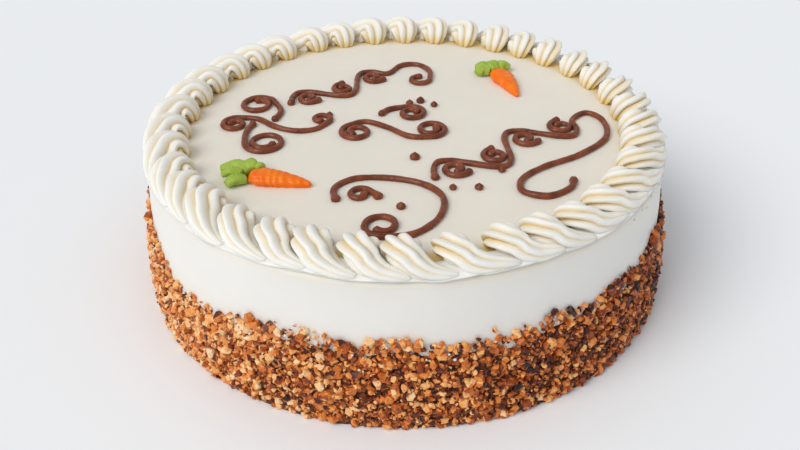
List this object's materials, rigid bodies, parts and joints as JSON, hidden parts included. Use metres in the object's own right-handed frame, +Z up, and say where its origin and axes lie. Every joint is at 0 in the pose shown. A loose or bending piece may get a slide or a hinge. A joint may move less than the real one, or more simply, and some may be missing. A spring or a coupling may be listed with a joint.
{
  "type": "carrot cake",
  "caption": "Tall round cake in white frosting with a piped swirl border, a chopped-nut coat round the foot, and piped carrots and chocolate scrollwork on top.",
  "frame": {"origin": "middle of the cake's underside, on the surface it stands on", "axes": "+Z up through the middle of the cake, -Y toward the front of the decoration, +X to the viewer's right"},
  "size_m": [0.2534, 0.252, 0.081],
  "materials": {
    "frosting": "smooth spread cream frosting, soft sheen",
    "piped_frosting": "piped cream frosting, soft sheen",
    "nuts": "roasted chopped nuts, rough with small glossy facets",
    "chocolate": "piped milk chocolate icing, satin",
    "carrot_orange": "piped orange icing, satin",
    "carrot_green": "piped green icing, satin"
  },
  "bodies": {
    "root": {"cake": "frosting", "nut_coat": "nuts", "carrot_root_left": "carrot_orange", "carrot_leaves_left": "carrot_green", "carrot_root_right": "carrot_orange", "carrot_leaves_right": "carrot_green", "swirl_01": "piped_frosting", "swirl_02": "piped_frosting", "swirl_03": "piped_frosting", "swirl_04": "piped_frosting", "swirl_05": "piped_frosting", "swirl_06": "piped_frosting", "swirl_07": "piped_frosting", "swirl_08": "piped_frosting", "swirl_09": "piped_frosting", "swirl_10": "piped_frosting", "swirl_11": "piped_frosting", "swirl_12": "piped_frosting", "swirl_13": "piped_frosting", "swirl_14": "piped_frosting", "swirl_15": "piped_frosting", "swirl_16": "piped_frosting", "swirl_17": "piped_frosting", "swirl_18": "piped_frosting", "swirl_19": "piped_frosting", "swirl_20": "piped_frosting", "swirl_21": "piped_frosting", "swirl_22": "piped_frosting", "swirl_23": "piped_frosting", "swirl_24": "piped_frosting", "swirl_25": "piped_frosting", "swirl_26": "piped_frosting", "swirl_27": "piped_frosting", "swirl_28": "piped_frosting", "swirl_29": "piped_frosting", "swirl_30": "piped_frosting", "swirl_31": "piped_frosting", "swirl_32": "piped_frosting", "swirl_33": "piped_frosting", "swirl_34": "piped_frosting", "swirl_35": "piped_frosting", "swirl_36": "piped_frosting", "swirl_37": "piped_frosting", "swirl_38": "piped_frosting", "scroll_01": "chocolate", "scroll_02": "chocolate", "scroll_03": "chocolate", "scroll_04": "chocolate", "scroll_05": "chocolate", "scroll_06": "chocolate", "scroll_07": "chocolate", "scroll_08": "chocolate", "scroll_09": "chocolate", "scroll_10": "chocolate", "scroll_11": "chocolate", "scroll_12": "chocolate", "scroll_13": "chocolate", "scroll_14": "chocolate", "scroll_15": "chocolate", "scroll_16": "chocolate"}
  },
  "joints": []
}
